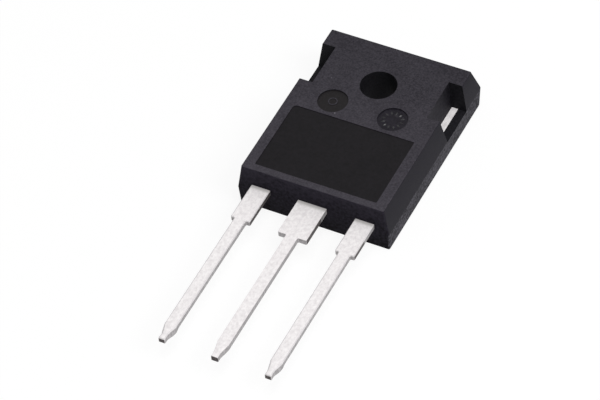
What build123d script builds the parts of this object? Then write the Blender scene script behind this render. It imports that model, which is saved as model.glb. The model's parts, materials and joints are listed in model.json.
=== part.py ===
from build123d import *
import os

# A power MOSFET in the large three-lead through-hole outline, moulded in black epoxy round a
# copper tab. Millimetres. The origin is where the axis of the mounting hole meets the back
# face: X runs across the body towards the source lead, Y towards the end with the hole, and Z
# out of the front face. The leads run along -Y.

# --- Driving dimensions -----------------------------------------------------------------

# Moulded body, at its parting line. From there its walls lean in both ways, a little towards
# the back and more towards the front.
body_width = 15.9
body_thickness = 5.0
hole_to_top_end = 6.17
hole_to_lead_end = 14.71
parting_height = 2.1
base_draft = 0.09
side_lean = 0.495
top_end_lean = 1.12
lead_end_lean = 0.22
front_corner_radius = 0.15
parting_corner_radius = 0.4
back_corner_radius = 0.6
lead_corner_radius = 0.15
front_edge_radius = 0.1
mounting_hole_diameter = 3.65

# Notches in the two sides, where the mould held the tab down. Their walls lean out.
notch_length = 4.36
notch_centre = 0.44
notch_depth = 1.55
notch_draft_angle = 6.65

# Marks on the front: a polished field and the prints of two ejector pins.
field_side_margin = 1.095
field_height = 8.31
field_to_lead_end = 0.76
field_depth = 0.05
field_corner_radius = 0.12
ejector_diameter = 3.0
ejector_spacing = 6.34
ejector_to_hole = 3.53
ejector_depth = 0.12

# Copper tab, which is also the drain and the heat sink. A step coined round the edge of its
# back locks it into the epoxy.
tab_thickness = 2.0
tab_side_margin = 0.89
tab_top_margin = 1.22
tab_lead_margin = 2.46
tab_corner_chamfer = 1.0
tab_hole_diameter = 7.2
step_width = 0.3
step_height = 0.7

# Leads, stamped from a thinner strip. The tab is set down below them.
lead_pitch = 5.45
lead_thickness = 0.6
lead_rise = 0.97
lead_width = 1.2
lead_length = 20.03
shoulder_length = 4.24
side_shoulder_width = 2.0
drain_shoulder_width = 3.0
shoulder_corner_radius = 0.12
tip_width = 0.68
tip_length = 0.45
taper_length = 1.32
taper_radius = 0.8
bend_radius = 0.3
bend_to_tab = 0.35

# Posts at the inner ends of the gate and source leads, where the wires are bonded.
post_depth = 1.6
post_to_lead_end = 0.55
gate_post_width = 3.0
post_to_side = 1.0
post_to_drain = 1.02
post_corner_radius = 0.2

# Chip, the solder under it, and the wires.
die_width = 7.0
die_height = 5.6
die_thickness = 0.25
die_to_tab_edge = 1.3
solder_thickness = 0.06
solder_margin = 0.2
gate_wire_diameter = 0.2
source_wire_diameter = 0.45
source_wire_count = 3
source_wire_spacing = 1.2
source_pad_offset = 1.6
source_pad_to_die_edge = 1.8
gate_pad_to_die_edge = 0.8
wire_foot_length = 0.6
wire_foot_squash = 0.3
wire_climb_run = 1.1

# --- Places worked out from them --------------------------------------------------------

lead_end = -hole_to_lead_end
top_end = hole_to_top_end
side = body_width / 2

tab_side = side - tab_side_margin
tab_top = top_end - tab_top_margin
tab_foot = lead_end + tab_lead_margin

lead_top = tab_thickness + lead_rise
lead_underside = lead_top - lead_thickness
bend_low = tab_foot - bend_to_tab
bend_high = bend_low - lead_rise

post_low = lead_end + post_to_lead_end
post_high = post_low + post_depth
post_middle = (post_low + post_high) / 2
gate_post_x = -(side - post_to_side - gate_post_width / 2)
source_post_start = drain_shoulder_width / 2 + post_to_drain
source_post_width = side - post_to_side - source_post_start
source_post_x = source_post_start + source_post_width / 2

die_low = tab_foot + die_to_tab_edge
die_middle = die_low + die_height / 2
die_underside = tab_thickness + solder_thickness
die_top = die_underside + die_thickness
wire_top = (lead_top + body_thickness) / 2

os.makedirs("parts", exist_ok=True)

# --- Leads ------------------------------------------------------------------------------


def lead_outline(x, height, shoulder_width, inner_end):
    """Plan of one lead at a height, from inner_end inside the body to its tip."""
    tip_start = tip_length - lead_length
    taper_start = tip_start + taper_length
    with BuildSketch(Plane((x, lead_end, height))) as plan:
        with BuildLine():
            Polyline(
                (0, inner_end - lead_end),
                (shoulder_width / 2, inner_end - lead_end),
                (shoulder_width / 2, -shoulder_length),
                (lead_width / 2, -shoulder_length),
                (lead_width / 2, taper_start),
                (tip_width / 2, tip_start),
                (tip_width / 2, -lead_length),
                (0, -lead_length),
            )
            mirror(about=Plane.YZ)
        make_face()
        step = (shoulder_width - lead_width) / 2
        shoulder_corners = plan.vertices().group_by(Axis.Y)[-2]
        fillet(shoulder_corners, radius=min(shoulder_corner_radius, 0.4 * step))
        taper_corners = plan.vertices().group_by(Axis.Y)[2]
        fillet(taper_corners, radius=taper_radius)
    return plan.sketch


def post_outline(x, width):
    """Plan of the bonding post at the inner end of a side lead."""
    with BuildSketch(Plane((x, post_middle, lead_underside))) as plan:
        Rectangle(width, post_depth)
        fillet(plan.vertices(), radius=post_corner_radius)
    return plan.sketch


def tab_outline(inset, height):
    """Plan of the tab at a height, drawn in from its edges by an inset."""
    width = 2 * (tab_side - inset)
    length = tab_top - tab_foot - 2 * inset
    with BuildSketch(Plane((0, (tab_top + tab_foot) / 2, height))) as plan:
        Rectangle(width, length)
        chamfer(plan.vertices().group_by(Axis.Y)[-1], length=tab_corner_chamfer)
    return plan.sketch


# The thin strip leaves the tab flush with its front and is bent up to the other leads.
drain_lead_plan = lead_outline(0, 0, drain_shoulder_width, tab_foot)
with BuildPart() as drain_strip:
    with BuildSketch(Plane.YZ):
        with BuildLine():
            FilletPolyline(
                (tab_foot, tab_thickness),
                (bend_low, tab_thickness),
                (bend_high, lead_top),
                (lead_end - lead_length, lead_top),
                radius=[bend_radius, bend_radius + lead_thickness],
            )
            offset(amount=lead_thickness, side=Side.LEFT)
        make_face()
    extrude(amount=drain_shoulder_width, both=True)
    extrude(drain_lead_plan, amount=lead_top, mode=Mode.INTERSECT)

exposed_plan = tab_outline(step_width, 0)
tab_plan = tab_outline(0, step_height)
with BuildPart() as drain_tab_and_lead:
    extrude(exposed_plan, amount=step_height)
    extrude(tab_plan, amount=tab_thickness - step_height)
    with Locations((0, 0, tab_thickness)):
        Hole(radius=tab_hole_diameter / 2)
    add(drain_strip.part)
drain_tab_and_lead.part.label = "drain_tab_and_lead"
export_step(drain_tab_and_lead.part, "parts/drain_tab_and_lead.step")


def build_side_lead(x, post_x, post_width):
    """Gate or source lead: a straight stamped strip with its bonding post."""
    strip_plan = lead_outline(x, lead_underside, side_shoulder_width, post_middle)
    post_plan = post_outline(post_x, post_width)
    with BuildPart() as lead:
        extrude(strip_plan, amount=lead_thickness)
        extrude(post_plan, amount=lead_thickness)
    return lead


gate_lead = build_side_lead(-lead_pitch, gate_post_x, gate_post_width)
gate_lead.part.label = "gate_lead"
export_step(gate_lead.part, "parts/gate_lead.step")

source_lead = build_side_lead(lead_pitch, source_post_x, source_post_width)
source_lead.part.label = "source_lead"
export_step(source_lead.part, "parts/source_lead.step")

# --- Chip -------------------------------------------------------------------------------

with BuildPart() as die_attach_solder:
    with BuildSketch(Plane((0, die_middle, tab_thickness))):
        Rectangle(die_width + 2 * solder_margin, die_height + 2 * solder_margin)
    with BuildSketch(Plane((0, die_middle, die_underside))):
        Rectangle(die_width, die_height)
    loft()
die_attach_solder.part.label = "die_attach_solder"
export_step(die_attach_solder.part, "parts/die_attach_solder.step")

with BuildPart() as silicon_die:
    with BuildSketch(Plane((0, die_middle, die_underside))):
        Rectangle(die_width, die_height)
    extrude(amount=die_thickness)
silicon_die.part.label = "silicon_die"
export_step(silicon_die.part, "parts/silicon_die.step")

# --- Bond wires -------------------------------------------------------------------------


def build_bond_wire(start, end, diameter, lead):
    """Wire looped from start on the chip to end on a lead's post, both in plan.

    Each end lies along its seat as a short foot, pressed flat where it is bonded.
    """
    axis_height = diameter / 2 * (1 - wire_foot_squash)
    run = Vector(*end) - Vector(*start)
    upright = Plane(
        origin=(*start, die_top + axis_height),
        x_dir=run,
        z_dir=run.cross(Vector(0, 0, 1)),
    )
    peak = wire_top - die_top - axis_height
    climb = lead_top - die_top
    top_x = wire_foot_length + wire_climb_run
    landing_x = run.length - wire_foot_length
    with BuildPart() as wire:
        # The loop rises and falls as the halves of two parabolas, each drawn as two runs.
        with BuildLine(upright) as path:
            Polyline(
                (0, 0),
                (wire_foot_length, 0),
                (wire_foot_length + wire_climb_run / 2, peak * 3 / 4),
                (top_x, peak),
                ((top_x + landing_x) / 2, peak - (peak - climb) / 4),
                (landing_x, climb),
                (run.length, climb),
            )
        with BuildSketch(Plane(origin=path.line @ 0, z_dir=path.line % 0)):
            Circle(diameter / 2)
        sweep(transition=Transition.RIGHT)
        add(silicon_die.part, mode=Mode.SUBTRACT)
        add(lead.part, mode=Mode.SUBTRACT)
    return wire


gate_bond_wire = build_bond_wire(
    (gate_pad_to_die_edge - die_width / 2, die_low + gate_pad_to_die_edge),
    (gate_post_x, post_middle),
    gate_wire_diameter,
    gate_lead,
)
gate_bond_wire.part.label = "gate_bond_wire"
export_step(gate_bond_wire.part, "parts/gate_bond_wire.step")

source_bond_wires = []
for index in range(source_wire_count):
    shift = (index - (source_wire_count - 1) / 2) * source_wire_spacing
    wire = build_bond_wire(
        (source_pad_offset + shift, die_low + source_pad_to_die_edge),
        (source_post_x + shift, post_middle),
        source_wire_diameter,
        source_lead,
    )
    wire.part.label = f"source_bond_wire_{index + 1}"
    export_step(wire.part, f"parts/source_bond_wire_{index + 1}.step")
    source_bond_wires.append(wire)

# --- Moulded body -----------------------------------------------------------------------


def body_outline(height, side_inset, top_inset, lead_inset, top_radius):
    """Plan of the moulding at a height, drawn in at its sides, its top end and its lead end."""
    high = top_end - top_inset
    low = lead_end + lead_inset
    with BuildSketch(Plane((0, (high + low) / 2, height))) as plan:
        Rectangle(2 * (side - side_inset), high - low)
        fillet(plan.vertices().group_by(Axis.Y)[-1], radius=top_radius)
        fillet(plan.vertices().group_by(Axis.Y)[0], radius=lead_corner_radius)
    return plan.sketch


field_width = 2 * (side - side_lean - field_side_margin)
field_middle = lead_end + lead_end_lean + field_to_lead_end + field_height / 2

back_plan = body_outline(0, base_draft, base_draft, base_draft, back_corner_radius)
parting_plan = body_outline(parting_height, 0, 0, 0, parting_corner_radius)
front_plan = body_outline(
    body_thickness, side_lean, top_end_lean, lead_end_lean, front_corner_radius
)
inserts = [drain_tab_and_lead, gate_lead, source_lead, die_attach_solder, silicon_die]
inserts += [gate_bond_wire, *source_bond_wires]

with BuildPart() as moulded_body:
    loft([back_plan, parting_plan, front_plan], ruled=True)
    front_face = moulded_body.faces().sort_by(Axis.Z)[-1]
    fillet(front_face.edges(), radius=min(front_edge_radius, 0.8 * lead_corner_radius))

    # Side notches down to the tab, whose edges lie bare in them.
    with BuildSketch(Plane((0, notch_centre, tab_thickness))):
        with GridLocations(2 * side, 0, 2, 1):
            Rectangle(2 * notch_depth, notch_length)
    extrude(amount=body_thickness, taper=-notch_draft_angle, mode=Mode.SUBTRACT)

    # Mounting hole, through the epoxy that fills the larger hole in the tab.
    with Locations((0, 0, body_thickness)):
        Hole(radius=mounting_hole_diameter / 2)

    # Prints of the two ejector pins, and the polished field between them and the leads.
    with BuildSketch(Plane.XY.offset(body_thickness)):
        with Locations((0, -ejector_to_hole)):
            with GridLocations(ejector_spacing, 0, 2, 1):
                Circle(ejector_diameter / 2)
    extrude(amount=-ejector_depth, mode=Mode.SUBTRACT)
    with BuildSketch(Plane.XY.offset(body_thickness)):
        with Locations((0, field_middle)):
            RectangleRounded(field_width, field_height, field_corner_radius)
    extrude(amount=-field_depth, mode=Mode.SUBTRACT)

    # The moulding closes round everything that it holds.
    for insert in inserts:
        add(insert.part, mode=Mode.SUBTRACT)
moulded_body.part.label = "moulded_body"
export_step(moulded_body.part, "parts/moulded_body.step")
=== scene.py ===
import json
from math import copysign, hypot, pi, radians, sin

import bmesh
import bpy
from mathutils import Matrix, Vector


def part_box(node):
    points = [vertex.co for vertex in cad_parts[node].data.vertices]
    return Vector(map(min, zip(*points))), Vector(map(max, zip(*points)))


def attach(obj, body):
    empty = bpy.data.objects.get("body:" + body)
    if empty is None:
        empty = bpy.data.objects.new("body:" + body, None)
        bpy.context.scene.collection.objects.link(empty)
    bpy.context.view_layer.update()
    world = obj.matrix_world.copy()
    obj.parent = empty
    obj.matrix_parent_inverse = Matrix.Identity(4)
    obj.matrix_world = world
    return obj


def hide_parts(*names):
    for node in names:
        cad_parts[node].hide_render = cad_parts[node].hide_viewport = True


# Looks of a power MOSFET in the large three-lead outline. Everything is in metres, in the frame
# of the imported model: X across the body, Y towards the screw hole, Z out of the front face.

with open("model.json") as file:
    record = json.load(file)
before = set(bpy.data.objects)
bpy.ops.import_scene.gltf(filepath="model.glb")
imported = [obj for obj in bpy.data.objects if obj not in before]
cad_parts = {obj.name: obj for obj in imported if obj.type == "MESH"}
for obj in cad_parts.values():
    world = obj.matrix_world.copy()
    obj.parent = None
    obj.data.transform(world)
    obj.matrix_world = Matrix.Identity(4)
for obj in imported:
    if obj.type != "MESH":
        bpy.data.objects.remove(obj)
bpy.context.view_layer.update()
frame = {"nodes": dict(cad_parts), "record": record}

MM = 0.001

# --- Places on the part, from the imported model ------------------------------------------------

body_low, body_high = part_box("moulded_body")
lead_low, lead_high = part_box("gate_lead")
mounts = {mount["name"]: mount for mount in frame["record"]["mounts"]}

front = body_high.z
hole_radius = mounts["mounting_hole"]["dims"]["r_mm"] * MM
lead_end = body_low.y
lead_top = lead_high.z

# Heights, depths and places that the frame doesn't state.
parting_height = 2.1 * MM
field_depth = 0.05 * MM
print_depth = 0.12 * MM
notch_floor = 2.0 * MM
notch_ends = (-1.74 * MM, 2.62 * MM)
notch_inner = 5.9 * MM
field_corner = Vector((-6.36, -5.42, 5.0)) * MM
field_corner_radius = 0.12 * MM
# The raised marks start a hair below the floors of the prints, so that they grow out of them.
print_places = (Vector((-3.17, -3.53, 4.87)) * MM, Vector((3.17, -3.53, 4.87)) * MM)
# A lead's side faces that are farther than this from its middle belong to its shoulder.
shoulder_side = 0.75 * MM

# Roundings that the solids leave out: worn edges, and edges rolled over by the stamp.
worn_radius = 0.04 * MM
rolled_radius = 0.1 * MM

# Places that match by less than this are the same place.
hair = 0.01 * MM

# --- Small helpers ----------------------------------------------------------------------------


def linear(hex_colour):
    """An sRGB hex value as the linear colour that a shader takes."""
    channels = [int(hex_colour[i : i + 2], 16) / 255 for i in (1, 3, 5)]
    return (*(c / 12.92 if c <= 0.04045 else ((c + 0.055) / 1.055) ** 2.4 for c in channels), 1.0)


def per_metre(size_mm):
    """Texture scale at which one cell of a pattern is size_mm wide."""
    return 1 / (size_mm * MM)


def add(tree, kind, inputs=None, **settings):
    """Add a node, with its settings, and set or link its inputs."""
    made = tree.nodes.new(kind)
    for name, value in settings.items():
        setattr(made, name, value)
    for name, value in (inputs or {}).items():
        if isinstance(value, bpy.types.NodeSocket):
            tree.links.new(value, made.inputs[name])
        else:
            made.inputs[name].default_value = value
    return made


def new_material(name):
    """An empty material, its tree, and Object coordinates to hang patterns on."""
    material = bpy.data.materials.new(name)
    material.use_nodes = True
    tree = material.node_tree
    tree.nodes.clear()
    place = add(tree, "ShaderNodeTexCoord").outputs["Object"]
    return material, tree, place


def finish_material(tree, shader):
    """Make a shader the look of its material."""
    add(tree, "ShaderNodeOutputMaterial", {"Surface": shader.outputs["BSDF"]})


def grain_relief(tree, grain, roughness, wander, height_mm):
    """What a fine grain does to a surface: its roughness wanders, and it stands up a little."""
    rough = add(tree, "ShaderNodeMapRange",
                {"Value": grain.outputs["Fac"], "From Min": 0.3, "From Max": 0.7,
                 "To Min": roughness - wander, "To Max": roughness + wander})
    bump = add(tree, "ShaderNodeBump",
               {"Height": grain.outputs["Fac"], "Distance": height_mm * MM, "Strength": 1.0})
    return rough.outputs[0], bump.outputs[0]


# --- Materials --------------------------------------------------------------------------------


def moulded_epoxy(name, dark, light, specular, roughness, grain_mm, grain_height_mm, contrast=1.0,
                  speck=0.0, fade=None):
    """Black epoxy moulding compound, as its mould face left it.

    The compound is mostly silica flour in epoxy, so it is never an even black: the filler
    shows as a fine light-and-dark grain, a slow cloudiness, and a few pale specks. The flour is
    too fine to tell apart at this distance, so its grain is drawn coarser. A contrast over 1
    parts the light and dark more sharply, and speck is how strong the specks are. A fade is
    painted light and shade along an axis: the axis, the places where the face is palest and
    darkest along it, and how much it turns.
    """
    cloud_mm, speck_pitch_mm, speck_colour = 3.0, 2.6, "#77747A"
    middle, spread = 0.65, 0.3 / contrast
    material, tree, place = new_material(name)
    grain = add(tree, "ShaderNodeTexNoise",
                {"Vector": place, "Scale": per_metre(grain_mm), "Detail": 2.0, "Roughness": 0.7})
    cloud = add(tree, "ShaderNodeTexNoise",
                {"Vector": place, "Scale": per_metre(cloud_mm), "Detail": 3.0, "Roughness": 0.55})
    tone = add(tree, "ShaderNodeMath", {0: cloud.outputs["Fac"], 1: 0.3, 2: grain.outputs["Fac"]},
               operation="MULTIPLY_ADD")
    share = add(tree, "ShaderNodeMapRange",
                {"Value": tone.outputs[0], "From Min": middle - spread,
                 "From Max": middle + spread}).outputs[0]
    # The fade paints light and shade along its axis.
    if fade:
        axis, palest, darkest, turn = fade
        axes = add(tree, "ShaderNodeSeparateXYZ", {"Vector": place})
        painted_shading = add(tree, "ShaderNodeMapRange",
                   {"Value": axes.outputs[axis], "From Min": palest, "From Max": darkest,
                    "To Min": turn, "To Max": -turn})
        share = add(tree, "ShaderNodeMath", {0: share, 1: painted_shading.outputs[0]},
                    operation="ADD").outputs[0]
    colour = add(tree, "ShaderNodeMix", {0: share, 6: linear(dark), 7: linear(light)},
                 data_type="RGBA")
    cells = add(tree, "ShaderNodeTexVoronoi", {"Vector": place, "Scale": per_metre(speck_pitch_mm)})
    flake = add(tree, "ShaderNodeMapRange",
                {"Value": cells.outputs["Distance"], "From Min": 0.035, "From Max": 0.02,
                 "To Max": speck})
    specked = add(tree, "ShaderNodeMix",
                  {0: flake.outputs[0], 6: colour.outputs[2], 7: linear(speck_colour)},
                  data_type="RGBA")
    rough, relief = grain_relief(tree, grain, roughness, 0.06, grain_height_mm)
    shader = add(tree, "ShaderNodeBsdfPrincipled",
                 {"Base Color": specked.outputs[2], "Roughness": rough,
                  "Specular IOR Level": specular, "IOR": 1.55, "Normal": relief})
    finish_material(tree, shader)
    return material


def mottled_metal(name, dark, light, metallic, roughness, blotch_mm, stretch, grain_height_mm,
                  bleed_and_shade_mm=0.0):
    """Metal whose tone wanders between a dark and a light in blotches, under a fine grain.

    A metal's own grain is a few thousandths of a millimetre wide, so it is drawn coarser, to
    show. A stretch under 1 draws the blotches out along an axis. A bleed is how far from the
    lead end the metal is greyed: partly a film of the moulding's resin crept out along the
    leads, and partly painted shade where the leads meet the body.
    """
    grain_mm, bleed_and_shade_end_mm, resin_film_and_shade = 0.1, 0.05, "#C4C1C0"
    material, tree, place = new_material(name)
    drawn = add(tree, "ShaderNodeMapping", {"Vector": place, "Scale": stretch})
    blotch = add(tree, "ShaderNodeTexNoise",
                 {"Vector": drawn.outputs[0], "Scale": per_metre(blotch_mm), "Detail": 4.0,
                  "Roughness": 0.65})
    share = add(tree, "ShaderNodeMapRange",
                {"Value": blotch.outputs["Fac"], "From Min": 0.35, "From Max": 0.65})
    colour = add(tree, "ShaderNodeMix", {0: share.outputs[0], 6: linear(dark), 7: linear(light)},
                 data_type="RGBA")
    if bleed_and_shade_mm:
        axes = add(tree, "ShaderNodeSeparateXYZ", {"Vector": place})
        beyond = add(tree, "ShaderNodeMath", {0: axes.outputs["Y"], 1: lead_end},
                     operation="SUBTRACT")
        away = add(tree, "ShaderNodeMath", {0: beyond.outputs[0]}, operation="ABSOLUTE")
        dulled_and_shaded = add(tree, "ShaderNodeMapRange",
                     {"Value": away.outputs[0], "From Min": bleed_and_shade_mm * MM,
                      "From Max": bleed_and_shade_end_mm * MM},
                     interpolation_type="SMOOTHSTEP")
        colour = add(tree, "ShaderNodeMix",
                     {0: dulled_and_shaded.outputs[0], 6: colour.outputs[2], 7: linear(resin_film_and_shade)},
                     data_type="RGBA")
    grain = add(tree, "ShaderNodeTexNoise",
                {"Vector": place, "Scale": per_metre(grain_mm), "Detail": 2.0, "Roughness": 0.6})
    rough, relief = grain_relief(tree, grain, roughness, 0.05, grain_height_mm)
    shader = add(tree, "ShaderNodeBsdfPrincipled",
                 {"Base Color": colour.outputs[2], "Metallic": metallic, "Roughness": rough,
                  "Normal": relief})
    finish_material(tree, shader)
    return material


# Each epoxy gives its dark and light, its specular level and roughness, and then its grain's
# width and height in millimetres.

# The front comes off a spark-eroded mould face: matte, slightly violet black and finely grained.
# Its fade paints it paler towards the leads: a painted gradient of light across the face.
epoxy_eroded = moulded_epoxy("epoxy_spark_eroded_face", "#1E1C22", "#48454C", 0.1, 0.6, 0.17, 0.008,
                             speck=0.8, fade=("Y", body_low.y, body_high.y, 0.19))
# The field comes off polished steel: darker and even.
epoxy_polished = moulded_epoxy("epoxy_polished_face", "#060507", "#171418", 0.1, 0.42, 0.3, 0.002)
# The ejector pins' ends are ground, a little paler than the field and without its violet.
epoxy_print = moulded_epoxy("epoxy_pin_print", "#131012", "#201E1F", 0.1, 0.45, 0.2, 0.003)
# The pin with the dial is newer: its print is bluer and less even.
epoxy_new_print = moulded_epoxy("epoxy_new_pin_print", "#0C0A10", "#26232B", 0.1, 0.45, 0.3, 0.006)
# The drafted walls were drawn along the mould as the part came out: a satin face.
epoxy_satin = moulded_epoxy("epoxy_drawn_wall", "#17161C", "#26242B", 0.05, 0.55, 0.2, 0.003)
# The lower mould half is eroded more coarsely, which gives its walls a dusty grey.
epoxy_base = moulded_epoxy("epoxy_coarse_wall", "#101014", "#525057", 0.06, 0.65, 0.25, 0.03,
                           contrast=1.9)
# The lead end is rough too. Its dark tone is painted shade, for the little light that reaches
# # it, and it is painted darker and darker towards its foot: a painted shadow of the leads.
epoxy_lead_end = moulded_epoxy("epoxy_lead_end_painted_shade", "#040306", "#312E37", 0.02, 0.5, 0.3, 0.006,
                               fade=("Z", front, 0.0, 0.33))
# Edges are rubbed smooth in the tray and the tube, and shine a little.
epoxy_edge = moulded_epoxy("epoxy_rubbed_edge", "#29272C", "#37343A", 0.25, 0.45, 0.2, 0.001)
# The notches' inner walls slid along the mould's pads: a pale satin. Its fade is a painted
# # shadow of the notch's upper end wall, darkening it towards that end.
epoxy_notch = moulded_epoxy("epoxy_slid_notch_wall", "#0F0E12", "#36343A", 0.06, 0.55, 0.2, 0.003,
                             fade=("Y", notch_ends[0], notch_ends[1], 0.4))
# The screw hole and the rest of the notches: smooth, and dark for want of light.
epoxy_hollow = moulded_epoxy("epoxy_smooth_hollow", "#101013", "#252428", 0.04, 0.5, 0.25, 0.003)
# The raised marks keep the gloss of the engraver's cut, so that their slopes glint.
epoxy_glossy = moulded_epoxy("epoxy_glossy_mark", "#17161A", "#1D1C20", 0.35, 0.3, 0.25, 0.0)

# Each metal gives its dark and light, how metallic and how rough it is, and then its blotches'
# width in millimetres and stretch, and its grain's height in millimetres.

# Matte tin is plated on the rolled copper. It grows in tiny grains that scatter light, so it is
# a soft silvery white, faintly mottled, and nearly as bright from any side.
# Near the body its bleed greys it: partly resin film, partly painted shade.
tin_rolled = mottled_metal("tin_plate_on_rolled_copper", "#E3DFE0", "#F6F3F3", 0.3, 0.7,
                           0.3, (1, 0.7, 1), 0.004, bleed_and_shade_mm=0.5)
# Stamped edges are torn more than cut, so the tin on them is duller, with streaks along Z. Their
# # tone is also painted darker than that, as painted shade on the leads' side faces.
tin_sheared = mottled_metal("tin_plate_on_sheared_edge_with_painted_shade", "#9A9798", "#BAB7B8", 0.4, 0.6,
                            0.2, (1, 1, 0.2), 0.008)
# The front edges are rolled over by the stamp, with tin on them. Their tone is painted a little
# # darker than the rolled tin: painted shade, like that on the rims turned away from the key light.
tin_rim = mottled_metal("tin_plate_on_rolled_rim_painted_shade", "#D1CECF", "#DDDADB", 0.3, 0.65,
                        0.3, (1, 1, 1), 0.004, bleed_and_shade_mm=0.5)
# Tips and dam bars are cut free after plating: bare copper, dulled to a dark brown-grey.
copper_cut = mottled_metal("bare_copper_cut_end", "#383334", "#5E5756", 0.2, 0.6,
                           0.15, (1, 1, 0.2), 0.01)
# The chip's face is sputtered aluminium over silicon: a bright, finely grained grey.
chip_metal = mottled_metal("aluminium_on_silicon_chip", "#8A8B90", "#A9AAAE", 1.0, 0.35,
                           0.4, (1, 1, 1), 0.001)
# Lead-tin solder, set dull and slightly frosted.
solder_set = mottled_metal("lead_tin_solder_set", "#6E6F72", "#93949A", 1.0, 0.45,
                           0.25, (1, 1, 1), 0.006)
# Aluminium wire keeps fine lengthwise marks of the drawing die.
wire_drawn = mottled_metal("drawn_aluminium_wire", "#B4B5B9", "#D2D3D6", 1.0, 0.3,
                           0.1, (1, 0.15, 1), 0.001)

# --- Shapes -----------------------------------------------------------------------------------


def welded(node):
    """A CAD node's shape with its loose triangles welded and its flat faces made whole."""
    shape = bmesh.new()
    shape.from_mesh(frame["nodes"][node].data)
    bmesh.ops.remove_doubles(shape, verts=shape.verts, dist=0.0005 * MM)
    bmesh.ops.dissolve_limit(shape, angle_limit=radians(0.6), verts=shape.verts, edges=shape.edges)
    return shape


def soften(shape, edges, radius, finish, segments=2):
    """Round the given edges by a small radius; their new faces get a finish of their own.

    The bevel is clamped where an edge is too short for it, and all its edges are held back
    alike. That leaves the drain piece's edges nearly sharp.
    """
    bmesh.ops.bevel(shape, geom=edges, offset=radius, offset_type="OFFSET", segments=segments,
                    profile=0.5, affect="EDGES", clamp_overlap=True, material=finish)


def sharp_edges(shape, angle=radians(28)):
    """Edges where two faces meet in an outside corner."""
    return [e for e in shape.edges
            if len(e.link_faces) == 2 and e.is_convex and e.calc_face_angle(0) > angle]


def evaluated_mesh(piece):
    """The piece's mesh with its modifiers applied."""
    graph = bpy.context.evaluated_depsgraph_get()
    return bpy.data.meshes.new_from_object(piece.evaluated_get(graph), preserve_all_data_layers=True,
                                           depsgraph=graph)


def mesh_from(shape, name, materials):
    """A mesh of a finished shape, with its materials in their slots."""
    mesh = bpy.data.meshes.new(name)
    shape.to_mesh(mesh)
    shape.free()
    for material in materials:
        mesh.materials.append(material)
    return mesh


def piece_from(mesh, name, replaced):
    """Make a smooth-shaded piece of a mesh and in place of a CAD node."""
    for polygon in mesh.polygons:
        polygon.use_smooth = True
    mesh.set_sharp_from_angle(angle=radians(25))
    piece = bpy.data.objects.new(name, mesh)
    bpy.context.scene.collection.objects.link(piece)
    weigh = piece.modifiers.new("even_shading", "WEIGHTED_NORMAL")
    weigh.keep_sharp = True
    weigh.weight = 100
    piece.data = evaluated_mesh(piece)
    piece.modifiers.clear()
    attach(piece, "root")
    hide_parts(replaced)
    return piece


# --- Raised marks in the ejector prints --------------------------------------------------------


def geometry_tree(name, inputs):
    """A Geometry Nodes tree with named inputs, and the sockets that carry them."""
    tree = bpy.data.node_groups.new(name, "GeometryNodeTree")
    tree.interface.new_socket("Geometry", in_out="OUTPUT", socket_type="NodeSocketGeometry")
    for label, kind in inputs.items():
        tree.interface.new_socket(label, in_out="INPUT", socket_type="NodeSocket" + kind)
    return tree, add(tree, "NodeGroupInput").outputs


def grown(tree, values):
    """The mesh that a Geometry Nodes tree makes of the given values."""
    seed = bpy.data.objects.new(tree.name, bpy.data.meshes.new(tree.name))
    bpy.context.scene.collection.objects.link(seed)
    nodes = seed.modifiers.new("grow", "NODES")
    nodes.node_group = tree
    sockets = {item.name: item.identifier for item in tree.interface.items_tree
               if item.in_out == "INPUT"}
    for name, value in values.items():
        nodes[sockets[name]] = value
    mesh = evaluated_mesh(seed)
    bpy.data.objects.remove(seed)
    return mesh


def ring_mark(radius, width, height, finish):
    """A plain raised ring, such as marks an unnumbered cavity."""
    tree, given = geometry_tree("ring_mark", {"Radius": "Float", "Width": "Float", "Height": "Float",
                                              "Finish": "Material"})
    circle = add(tree, "GeometryNodeCurvePrimitiveCircle",
                 {"Resolution": 36, "Radius": given["Radius"]})
    band = add(tree, "GeometryNodeCurvePrimitiveQuadrilateral",
               {"Width": given["Width"], "Height": given["Height"]})
    ring = add(tree, "GeometryNodeCurveToMesh",
               {"Curve": circle.outputs["Curve"], "Profile Curve": band.outputs["Curve"]})
    real = add(tree, "GeometryNodeRealizeInstances", {"Geometry": ring.outputs["Mesh"]})
    done = add(tree, "GeometryNodeSetMaterial",
               {"Geometry": real.outputs["Geometry"], "Material": given["Finish"]})
    add(tree, "NodeGroupOutput", {"Geometry": done.outputs["Geometry"]})
    return grown(tree, {"Radius": radius, "Width": width, "Height": height, "Finish": finish})


def tick_mark(count, radius, length, width, height, finish):
    """Small raised ridges round a circle, like an unnumbered dial, each with four slopes."""
    tree, given = geometry_tree("tick_mark", {"Count": "Int", "Radius": "Float", "Length": "Float",
                                              "Width": "Float", "Height": "Float",
                                              "Finish": "Material"})
    circle = add(tree, "GeometryNodeMeshCircle",
                 {"Vertices": given["Count"], "Radius": given["Radius"]})
    ridge = add(tree, "GeometryNodeMeshCone",
                {"Vertices": 4, "Radius Top": 0.0, "Radius Bottom": 0.5, "Depth": 1.0})
    size = add(tree, "ShaderNodeCombineXYZ",
               {"X": given["Length"], "Y": given["Width"], "Z": given["Height"]})
    outward = add(tree, "GeometryNodeInputPosition")
    turn = add(tree, "FunctionNodeAlignRotationToVector", {"Vector": outward.outputs["Position"]},
               axis="X")
    ridges = add(tree, "GeometryNodeInstanceOnPoints",
                 {"Points": circle.outputs["Mesh"], "Instance": ridge.outputs["Mesh"],
                  "Rotation": turn.outputs["Rotation"], "Scale": size.outputs["Vector"]})
    real = add(tree, "GeometryNodeRealizeInstances", {"Geometry": ridges.outputs["Instances"]})
    done = add(tree, "GeometryNodeSetMaterial",
               {"Geometry": real.outputs["Geometry"], "Material": given["Finish"]})
    add(tree, "NodeGroupOutput", {"Geometry": done.outputs["Geometry"]})
    return grown(tree, {"Count": count, "Radius": radius, "Length": length, "Width": width,
                        "Height": height, "Finish": finish})


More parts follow.
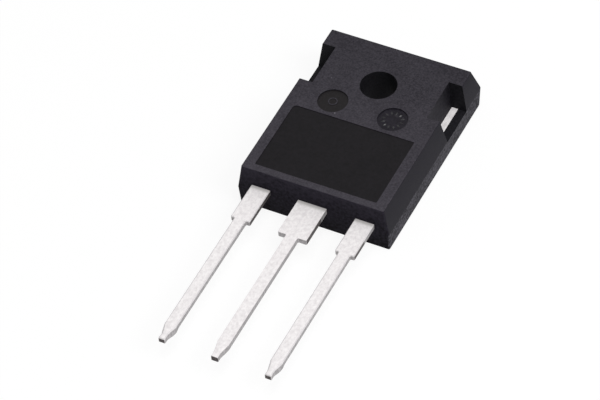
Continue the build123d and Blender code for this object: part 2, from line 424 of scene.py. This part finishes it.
def with_relief(mesh, reliefs):
    """The mesh with raised marks, each at a place, joined to it as one solid."""
    host = bpy.data.objects.new("host", mesh)
    bpy.context.scene.collection.objects.link(host)
    marks = []
    for relief, place in reliefs:
        relief.transform(Matrix.Translation(place))
        mark = bpy.data.objects.new("mark", relief)
        bpy.context.scene.collection.objects.link(mark)
        join = host.modifiers.new("raise", "BOOLEAN")
        join.operation = "UNION"
        join.solver = "EXACT"
        join.material_mode = "TRANSFER"
        join.object = mark
        marks.append(mark)
    united = evaluated_mesh(host)
    for spent in (host, *marks):
        bpy.data.objects.remove(spent)
    return united


# --- Moulded body -----------------------------------------------------------------------------

EPOXY_SLOTS = [epoxy_eroded, epoxy_edge, epoxy_polished, epoxy_print, epoxy_satin, epoxy_base,
               epoxy_lead_end, epoxy_notch, epoxy_hollow, epoxy_new_print]
ERODED, EDGE, POLISHED, PRINT, SATIN, BASE, LEAD_END, NOTCH, HOLLOW, NEW_PRINT = range(10)


def by_notch(point, margin):
    """True out from a notch's inner wall, between its ends and a margin for their draft."""
    return abs(point.x) > notch_inner and notch_ends[0] - margin < point.y < notch_ends[1] + margin


def outside(point):
    """True on the moulding's outer faces, its notches and its screw hole."""
    # Each outer wall leans in by a little less than its reach.
    side_reach, hole_end_reach, lead_end_reach, front_reach = 0.6 * MM, 1.3 * MM, 0.3 * MM, 0.3 * MM
    by_hole = hypot(point.x, point.y) < hole_radius + 0.05 * MM
    at_skin = (point.z > front - front_reach or point.z < 0.1 * hair
               or abs(point.x) > body_high.x - side_reach
               or point.y > body_high.y - hole_end_reach or point.y < lead_end + lead_end_reach)
    return by_hole or by_notch(point, 0.5 * MM) or at_skin


def epoxy_finish(face):
    """Which mould face a facet of the body came off."""
    centre, normal = face.calc_center_median(), face.normal
    if hypot(centre.x, centre.y) < hole_radius + 2 * hair:
        return HOLLOW
    if normal.z > 0.8 and centre.z > front - print_depth - hair:
        if centre.z > front - field_depth + hair:
            return ERODED
        if centre.z > front - field_depth - hair:
            return POLISHED
        return PRINT if centre.x < 0 else NEW_PRINT
    in_notch = by_notch(centre, 0.4 * MM) and centre.z > notch_floor - hair
    on_outer_wall = abs(centre.x) > body_high.x - 0.1 * MM
    if in_notch and not on_outer_wall:
        return NOTCH if abs(normal.x) > 0.9 else HOLLOW
    # Faces turned towards the leads take the lead end's dark wall, which is painted shade.
    if normal.y < -0.98 or normal.y < -0.5 and normal.z > 0.1:
        return LEAD_END
    return SATIN if centre.z > parting_height else BASE


def widen_field_corner(shape, factor):
    """Round the field's corner on the gate's side, by the hole, more than the other three."""
    for vert in shape.verts:
        away = vert.co - field_corner
        in_field = vert.co.z > front - field_depth - hair
        if in_field and max(abs(away.x), abs(away.y)) < field_corner_radius + hair:
            vert.co.x = field_corner.x + factor * away.x
            vert.co.y = field_corner.y + factor * away.y


def make_body():
    """The moulding, with a finish for each kind of mould face and the marks in its prints."""
    shape = welded("moulded_body")
    widen_field_corner(shape, factor=3.6)
    rims = [e for e in sharp_edges(shape) if all(outside(v.co) for v in e.verts)]
    for face in shape.faces:
        face.material_index = epoxy_finish(face)
    soften(shape, rims, worn_radius, EDGE)
    plain = mesh_from(shape, "epoxy_moulding", EPOXY_SLOTS)
    ring = ring_mark(radius=0.42 * MM, width=0.1 * MM, height=0.1 * MM, finish=epoxy_eroded)
    ticks = tick_mark(count=12, radius=0.92 * MM, length=0.5 * MM, width=0.24 * MM,
                      height=0.1 * MM, finish=epoxy_glossy)
    marked = with_relief(plain, [(ring, print_places[0]), (ticks, print_places[1])])
    return piece_from(marked, "epoxy_moulding", "moulded_body")


# --- Copper pieces ----------------------------------------------------------------------------

TIN_SLOTS = [tin_rolled, tin_rim, tin_sheared, copper_cut]
ROLLED, RIM, SHEARED, CUT = range(4)


def split_across(shape, y):
    """Cut every face along a plane across the leads."""
    bmesh.ops.bisect_plane(shape, geom=[*shape.verts, *shape.edges, *shape.faces], dist=0.001 * MM,
                           plane_co=(0, y, 0), plane_no=(0, 1, 0))


def tin_finish(face, axis_x, bar_top):
    """How a facet of a lead or of the tab was made.

    axis_x is where its lead's middle lies, and bar_top where the dam bar's upper edge was.
    """
    middle = face.calc_center_bounds()
    tip_cut = face.normal.y < -0.9 and middle.y < lead_low.y + hair
    dam_bar_cut = (abs(face.normal.x) > 0.9 and abs(middle.x - axis_x) > shoulder_side
                   and middle.y < bar_top)
    if tip_cut or dam_bar_cut:
        return CUT
    # Side faces take the darker sheared tin, which is partly painted shade.
    return ROLLED if abs(face.normal.z) > 0.5 else SHEARED


def swell(y, start, end):
    """0 outside a stretch of a lead and 1 in its middle, with a smooth rise and fall."""
    return sin(pi * (start - y) / (start - end)) ** 2 if end < y < start else 0


def coin_point(shape, axis_x, amount):
    """Press a lead's point from the front: its front edges go in and its back edges bulge out.

    The amount is the bulge, and the front edges go in by a share of it. Both are strongest
    half-way along their own stretch of the lead.
    """
    tip, length, cuts = lead_low.y, 2.2 * MM, 14
    press_share, press_start, bulge_end = 0.65, tip + 1.8 * MM, tip + 0.4 * MM
    for step in range(1, cuts + 1):
        split_across(shape, tip + length * step / cuts)
    for vert in shape.verts:
        outward = copysign(amount, vert.co.x - axis_x)
        if vert.co.z > lead_top - hair:
            vert.co.x -= press_share * outward * swell(vert.co.y, press_start, tip)
        else:
            vert.co.x += outward * swell(vert.co.y, tip + length, bulge_end)


def make_tinned(node, terminal, coining, bar_top):
    """A tin-plated copper piece whose lead ends in a terminal of the record."""
    shape = welded(node)
    axis_x = mounts[terminal]["pos_m"][0]
    coin_point(shape, axis_x, coining)
    split_across(shape, bar_top)
    for face in shape.faces:
        face.material_index = tin_finish(face, axis_x, bar_top)
    rolled_over = [e for e in sharp_edges(shape)
                   if min(v.co.z for v in e.verts) > lead_top - hair]
    soften(shape, rolled_over, rolled_radius, RIM, segments=3)
    soften(shape, sharp_edges(shape, radians(50)), worn_radius, RIM)
    name = node + "_tinned"
    return piece_from(mesh_from(shape, name, TIN_SLOTS), name, node)


make_body()
make_tinned("gate_lead", "gate_terminal", coining=0.15 * MM, bar_top=lead_end)
make_tinned("source_lead", "source_terminal", coining=0.12 * MM, bar_top=lead_end - 2.1 * MM)
make_tinned("drain_tab_and_lead", "drain_terminal", coining=0.04 * MM, bar_top=lead_end - 1.2 * MM)

# What the moulding hides keeps its CAD shape.
inner_materials = {"silicon_die": chip_metal, "die_attach_solder": solder_set,
                   "gate_bond_wire": wire_drawn, "source_bond_wire_1": wire_drawn,
                   "source_bond_wire_2": wire_drawn, "source_bond_wire_3": wire_drawn}
for node, material in inner_materials.items():
    for held in frame["nodes"][node].material_slots:
        held.material = material

# --- Studio -----------------------------------------------------------------------------------


def shown_ray(tree):
    """1 where the camera sees a surface, straight or in a reflection or through glass."""
    path = add(tree, "ShaderNodeLightPath")
    seen = add(tree, "ShaderNodeMath",
               {0: path.outputs["Is Camera Ray"], 1: path.outputs["Is Glossy Ray"]},
               operation="MAXIMUM")
    shown = add(tree, "ShaderNodeMath",
                {0: seen.outputs[0], 1: path.outputs["Is Transmission Ray"]}, operation="MAXIMUM")
    return shown.outputs[0]


def make_floor(whitening, glow):
    """White table, a hair below the part, with a faint shadow.

    Whitening is the share of a plain white glow over the lit paper, where the camera sees it.
    """
    shape = bmesh.new()
    bmesh.ops.create_grid(shape, x_segments=1, y_segments=1, size=1.0)
    bmesh.ops.translate(shape, verts=shape.verts, vec=(0, 0, -hair))
    mesh = bpy.data.meshes.new("studio_floor")
    shape.to_mesh(mesh)
    shape.free()
    material, tree, _ = new_material("white_table")
    paper = add(tree, "ShaderNodeBsdfPrincipled",
                {"Base Color": linear("#FFFFFF"), "Roughness": 1.0, "Specular IOR Level": 0.0})
    white = add(tree, "ShaderNodeEmission", {"Color": linear("#FFFFFF"), "Strength": glow})
    share = add(tree, "ShaderNodeMath", {0: shown_ray(tree), 1: whitening}, operation="MULTIPLY")
    mixed = add(tree, "ShaderNodeMixShader",
                {0: share.outputs[0], 1: paper.outputs[0], 2: white.outputs[0]})
    add(tree, "ShaderNodeOutputMaterial", {"Surface": mixed.outputs[0]})
    mesh.materials.append(material)
    floor = bpy.data.objects.new("studio_floor", mesh)
    bpy.context.scene.collection.objects.link(floor)


def make_world(fill):
    """White to the camera and in reflections; a plain fill for everything else."""
    world = bpy.data.worlds.new("white_studio")
    bpy.context.scene.world = world
    world.use_nodes = True
    tree = world.node_tree
    tree.nodes.clear()
    strength = add(tree, "ShaderNodeMapRange",
                   {"Value": shown_ray(tree), "To Min": fill, "To Max": 1.0})
    white = add(tree, "ShaderNodeBackground",
                {"Color": linear("#FFFFFF"), "Strength": strength.outputs[0]})
    add(tree, "ShaderNodeOutputWorld", {"Surface": white.outputs[0]})


def make_lamp(name, place, target, size, power):
    """A square soft box, aimed at a point."""
    light = bpy.data.lights.new(name, "AREA")
    light.shape = "SQUARE"
    light.size = size
    light.energy = power
    lamp = bpy.data.objects.new(name, light)
    aim = (Vector(target) - Vector(place)).to_track_quat("-Z", "Y")
    lamp.matrix_world = Matrix.LocRotScale(Vector(place), aim, None)
    bpy.context.scene.collection.objects.link(lamp)


def make_camera():
    """A long lens over the leads' right side, a little rolled."""
    place = Vector((0.11472, -0.20857, 0.25358))
    right = Vector((0.8930, 0.4447, -0.0693)).normalized()
    up = Vector((-0.2904, 0.6870, 0.6662)).normalized()
    back = right.cross(up).normalized()
    up = back.cross(right)
    data = bpy.data.cameras.new("camera")
    data.sensor_width = 36.0
    data.lens = 215.35
    data.clip_start = 0.01
    camera = bpy.data.objects.new("camera", data)
    camera.matrix_world = Matrix((right, up, back)).transposed().to_4x4()
    camera.location = place
    bpy.context.scene.collection.objects.link(camera)
    bpy.context.scene.camera = camera


make_floor(whitening=0.85, glow=1.02)
make_world(fill=0.3)
part_middle = (0, -0.012, 0.002)
make_lamp("key_softbox", (0.42, -0.05, 0.45), part_middle, size=0.3, power=1.45)
make_lamp("top_softbox", (0.10, -0.03, 0.60), part_middle, size=0.35, power=1.43)
make_camera()

bpy.context.scene.view_settings.view_transform = "Standard"
